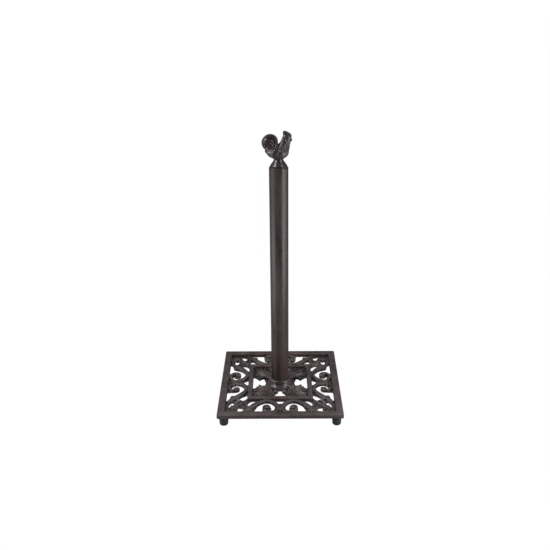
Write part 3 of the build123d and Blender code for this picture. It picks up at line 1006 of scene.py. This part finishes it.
def antique_iron(name, paint_color, brown, wear, grain_depth, gloss):
    """Satin antique paint on cast iron: shade painted into the hollows, rubbed on the ridges."""
    material, shader = principled(name, (0.03, 0.025, 0.025), 0.42)
    tree = material.node_tree
    place = coordinates(tree)
    paint = place_group(tree, mottle, Vector=place, Paint=paint_color, Undercoat=brown)
    # Rubbed ridges, and painted shade darkening the hollows, both found by the Pointiness
    relief_tone = place_group(
        tree, wear_and_painted_shade, Vector=place, Ridge=pointiness(tree), Color=paint.outputs["Color"],
        Amount=wear,
    )
    set_color_and_gloss(tree, shader, relief_tone.outputs["Color"], paint.outputs["Mask"], gloss)
    set_grain(tree, shader, place, grain_depth, strength=0.8)
    return material


def paint_over(piece, material):
    """Makes a material the only one of a piece."""
    piece.data.materials.clear()
    piece.data.materials.append(material)


base_paint = antique_iron(
    "antique_iron_base", paint_color=(0.021, 0.015, 0.016), brown=(0.066, 0.043, 0.047),
    wear=0.6, grain_depth=0.07, gloss=(0.24, 0.38),
)
finial_paint = antique_iron(
    "antique_iron_finial", paint_color=(0.013, 0.011, 0.012), brown=(0.044, 0.030, 0.033),
    wear=0.3, grain_depth=0.02, gloss=(0.16, 0.28),
)
for piece, paint, node, body in (
    (base, base_paint, "base_casting", "stand"), (finial, finial_paint, "finial_casting", "finial")
):
    paint_over(piece, paint)
    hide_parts(node)
    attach(piece, body)
    print(piece.name, "is painted with", paint.name)

# %% [markdown]
# ## The tube's paint
# The same paint lies smoother on steel tube. Soft streaks of brown run along it where it was
# wiped. A separate wave texture would give stripes too regular for a hand, so the pattern is the
# same mottle, stretched ten times along the post by a Mapping node.

# %% Streaked paint
STREAK = (1.0, 1.0, 0.1)


def antique_tube(name):
    """Antique paint wiped along a tube: soft streaks, and hardly any grain."""
    material, shader = principled(name, (0.03, 0.025, 0.025), 0.34)
    tree = material.node_tree
    place = coordinates(tree)
    stretch = tree.nodes.new("ShaderNodeMapping")
    stretch.inputs["Scale"].default_value = STREAK
    tree.links.new(place, stretch.inputs["Vector"])
    paint = place_group(
        tree, mottle, Vector=stretch.outputs["Vector"], Paint=(0.009, 0.008, 0.008),
        Undercoat=(0.056, 0.033, 0.036), Patch_Scale=130.0, Spot_Scale=900.0,
    )
    set_color_and_gloss(tree, shader, paint.outputs["Color"], paint.outputs["Mask"], (0.28, 0.42))
    set_grain(tree, shader, place, depth=0.02)
    return material


paint_over(tube, antique_tube("antique_tube"))
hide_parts("post_tube")
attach(tube, "stand")
print(tube.name, "is painted with", tube.data.materials[0].name)

# %% [markdown]
# ## Rubber and zinc
# The caps are matt blue-black rubber with a bloom of dust. The rod, the nut and the washers are
# zinc-plated steel: their CAD shapes are right as they are, so they only get a finish. Both are
# made from the groups above with other colours and scales, so nothing new is needed.

# %% Rubber and zinc
def black_rubber(name):
    """Moulded rubber: a dusty bloom over nearly black, with a fine skin."""
    material, shader = principled(name, (0.012, 0.014, 0.016), 0.55)
    tree = material.node_tree
    place = coordinates(tree)
    bloom = place_group(
        tree, mottle, Vector=place, Paint=(0.010, 0.012, 0.014), Undercoat=(0.030, 0.034, 0.038),
        Patch_Scale=300.0, Spot_Scale=2400.0,
    )
    set_color_and_gloss(tree, shader, bloom.outputs["Color"], bloom.outputs["Mask"], (0.42, 0.68))
    set_grain(tree, shader, place, depth=0.03, pits=3000.0)
    return material


def zinc_plate(name):
    """Dull zinc plate: a pale spangle, brighter worn edges, and shade painted into the hollows."""
    material, shader = principled(name, (0.5, 0.51, 0.52), 0.38, metallic=1.0)
    tree = material.node_tree
    place = coordinates(tree)
    spangle = place_group(
        tree, mottle, Vector=place, Paint=(0.42, 0.43, 0.44), Undercoat=(0.62, 0.61, 0.58),
        Patch_Scale=500.0, Spot_Scale=2500.0,
    )
    # Brighter worn edges, and painted shade darkening the hollows, both found by the Pointiness
    relief_tone = place_group(
        tree, wear_and_painted_shade, Vector=place, Ridge=pointiness(tree), Color=spangle.outputs["Color"],
        Worn=(0.8, 0.8, 0.79), Amount=0.4,
    )
    set_color_and_gloss(tree, shader, relief_tone.outputs["Color"], spangle.outputs["Mask"], (0.3, 0.5))
    return material


rubber, zinc = black_rubber("black_rubber"), zinc_plate("zinc_plate")
for cap in caps:
    paint_over(cap, rubber)
for node in ("tie_rod", "flat_washer", "spring_washer", "clamp_nut"):
    for material_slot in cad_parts[node].material_slots:
        material_slot.material = zinc
    print(node, "slots:", len(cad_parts[node].material_slots))
